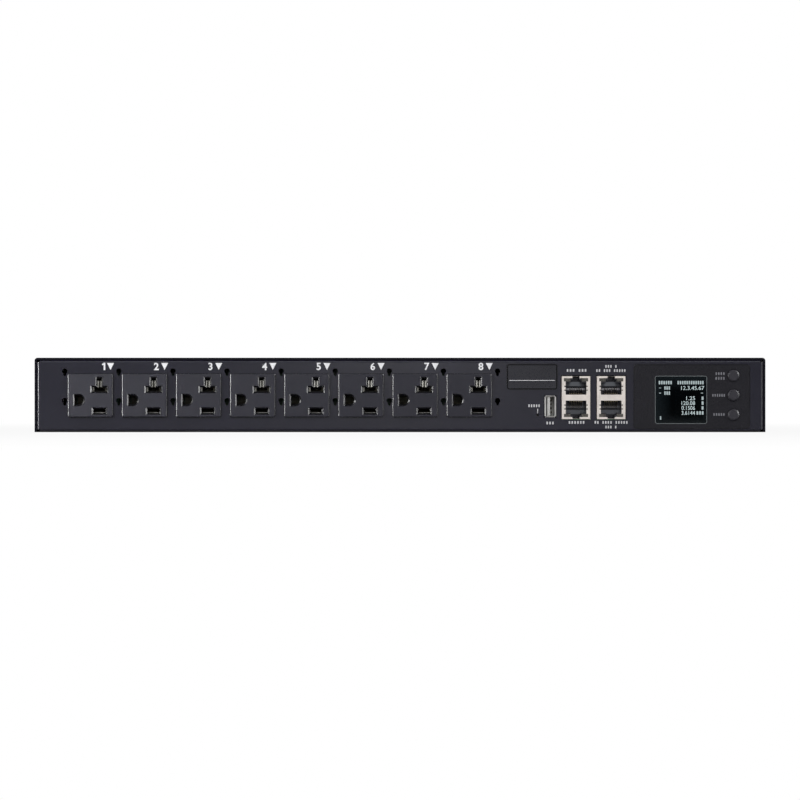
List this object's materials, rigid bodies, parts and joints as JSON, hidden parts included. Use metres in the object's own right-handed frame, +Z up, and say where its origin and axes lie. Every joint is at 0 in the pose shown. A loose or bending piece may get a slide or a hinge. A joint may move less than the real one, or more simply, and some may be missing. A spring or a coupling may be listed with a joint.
{
  "type": "rack power distribution unit",
  "caption": "One-unit-high rack power strip in a black folded-steel case, with grounded outlets, network jacks, a small display and push buttons across the front.",
  "frame": {"origin": "middle of the case's depth and width, at the lower edges of the side walls", "axes": "+X to the right seen from the front, +Y to the rear (the outlets face -Y), +Z up"},
  "size_m": [0.4324, 0.2184, 0.044],
  "materials": {
    "case_paint": "fine powder coat",
    "outlet_plastic": "moulded, fine grain",
    "contact_metal": "plated spring strip",
    "board_laminate": "solder-resist coat",
    "relay_case": "moulded",
    "plate_face": "satin film",
    "overlay_film": "satin film",
    "window_lens": "polished",
    "display_frame": "stamped",
    "button_plastic": "moulded",
    "plunger_plastic": "moulded",
    "switch_case": "moulded",
    "shield_metal": "tin-plated",
    "insert_plastic": "moulded",
    "gold_contact": "gold flash",
    "light_pipe": "clear moulding",
    "tongue_plastic": "moulded",
    "steel": "zinc plate",
    "black_steel": "black oxide",
    "transformer": "taped winding",
    "capacitor": "shrink sleeve",
    "inlet_plastic": "moulded",
    "pin_metal": "nickel plate",
    "breaker_button": "moulded",
    "black_wire": "insulation",
    "white_wire": "insulation",
    "green_wire": "insulation"
  },
  "bodies": {
    "case": {"board_screws": "steel", "board_standoffs": "steel", "bracket_nuts": "steel", "breaker_body": "inlet_plastic", "breaker_nut": "steel", "chassis_tray": "case_paint", "control_board": "board_laminate", "cover_screws": "black_steel", "display_board": "board_laminate", "display_module": "display_frame", "display_overlay": "overlay_film", "display_window": "window_lens", "feed_wire": "black_wire", "ground_contacts": "contact_metal", "ground_nut": "steel", "ground_screw": "steel", "ground_wire": "green_wire", "inlet_housing": "inlet_plastic", "inlet_pins": "pin_metal", "inlet_screws": "black_steel", "jack_light_pipes": "light_pipe", "key_switches": "switch_case", "line_contacts": "contact_metal", "line_wire": "black_wire", "name_plate": "plate_face", "network_jack_contacts": "gold_contact", "network_jack_insert": "insert_plastic", "network_jack_shield": "shield_metal", "neutral_contacts": "contact_metal", "neutral_wire": "white_wire", "outlet_1": "outlet_plastic", "outlet_2": "outlet_plastic", "outlet_3": "outlet_plastic", "outlet_4": "outlet_plastic", "outlet_5": "outlet_plastic", "outlet_6": "outlet_plastic", "outlet_7": "outlet_plastic", "outlet_8": "outlet_plastic", "outlet_board": "board_laminate", "outlet_relays": "relay_case", "reset_switch": "switch_case", "serial_jack_contacts": "gold_contact", "serial_jack_insert": "insert_plastic", "serial_jack_shield": "shield_metal", "supply_board": "board_laminate", "supply_capacitors": "capacitor", "supply_transformer": "transformer", "top_cover": "case_paint", "usb_contacts": "gold_contact", "usb_shell": "shield_metal", "usb_tongue": "tongue_plastic"},
    "menu_key": {"menu_button": "button_plastic", "menu_plunger": "plunger_plastic"},
    "select_key": {"select_button": "button_plastic", "select_plunger": "plunger_plastic"},
    "enter_key": {"enter_button": "button_plastic", "enter_plunger": "plunger_plastic"},
    "reset_key": {"reset_plunger": "plunger_plastic"},
    "breaker_key": {"breaker_button": "breaker_button"}
  },
  "joints": [
    {"name": "menu_press", "type": "slide", "parent": "case", "child": "menu_key", "axis": [0, 1, 0], "range_m": [0, 0.0005], "stiffness_N_per_m": 1500, "springref_m": -0.0003},
    {"name": "select_press", "type": "slide", "parent": "case", "child": "select_key", "axis": [0, 1, 0], "range_m": [0, 0.0005], "stiffness_N_per_m": 1500, "springref_m": -0.0003},
    {"name": "enter_press", "type": "slide", "parent": "case", "child": "enter_key", "axis": [0, 1, 0], "range_m": [0, 0.0005], "stiffness_N_per_m": 1500, "springref_m": -0.0003},
    {"name": "reset_press", "type": "slide", "parent": "case", "child": "reset_key", "axis": [0, 1, 0], "range_m": [0, 0.0003], "stiffness_N_per_m": 1500, "springref_m": -0.0003},
    {"name": "breaker_trip", "type": "slide", "parent": "case", "child": "breaker_key", "axis": [0, 1, 0], "range_m": [0, 0.003]}
  ]
}
